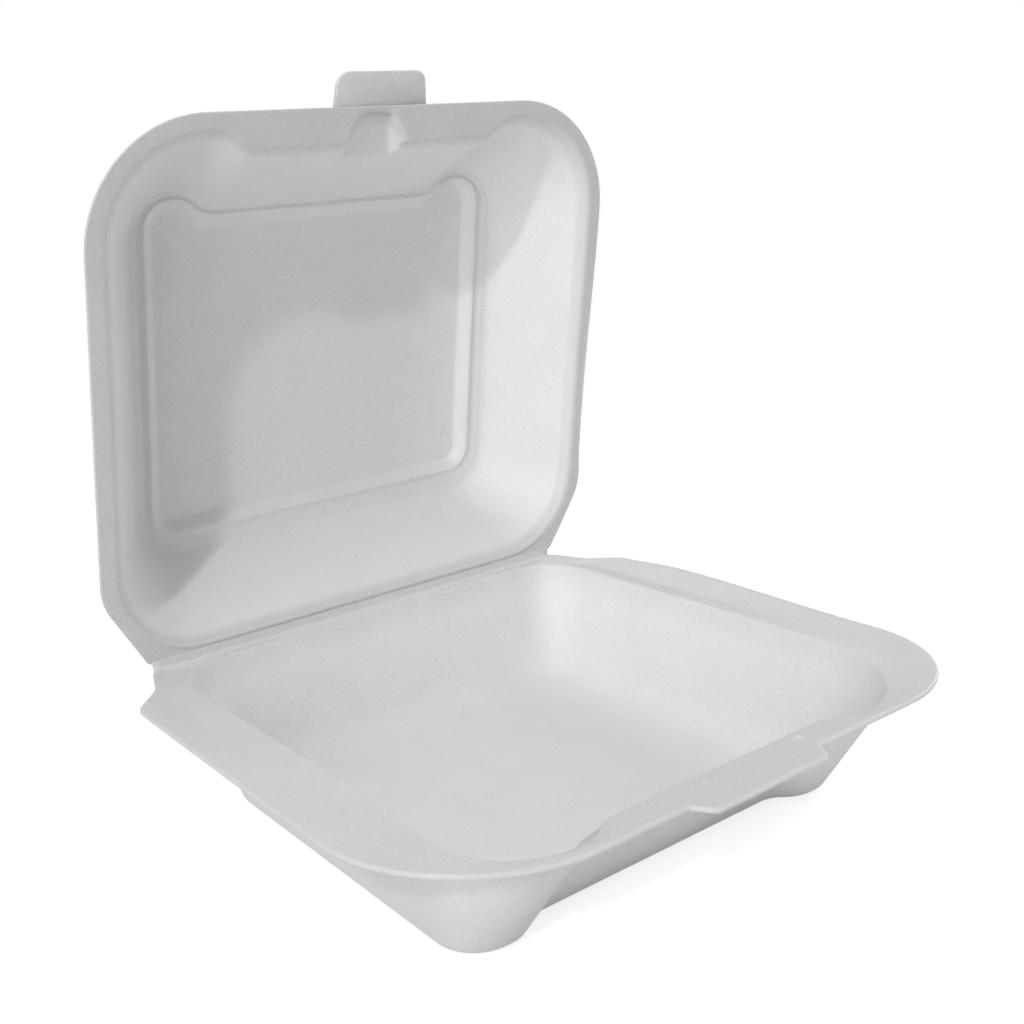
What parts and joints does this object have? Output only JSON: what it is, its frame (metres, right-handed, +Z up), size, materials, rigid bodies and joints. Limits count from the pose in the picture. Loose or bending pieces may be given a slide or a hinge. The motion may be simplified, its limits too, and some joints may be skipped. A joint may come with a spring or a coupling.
{
  "type": "hinged foam food container",
  "caption": "White foam hinged meal box standing open: sloped tray with grooved rim and front lip, and a lid with raised panel, thumb groove and locking tab.",
  "frame": {"origin": "on the tray's resting face, on the middle plane, midway between the floor's back and front edges", "axes": "+Z up, +X along the hinge line to the right, -Y towards the front where the box opens"},
  "size_m": [0.214, 0.2289, 0.2373],
  "materials": {
    "foam": "white expanded polystyrene foam, matte with a faint satin skin"
  },
  "bodies": {
    "base": {"base_tray": "foam"},
    "lid": {"lid": "foam"}
  },
  "joints": [
    {"name": "lid_hinge", "type": "hinge", "parent": "base", "child": "lid", "pos_m": [0, 0.0886, 0.04], "axis": [-1, 0, 0], "range_deg": [-80, 95]}
  ]
}
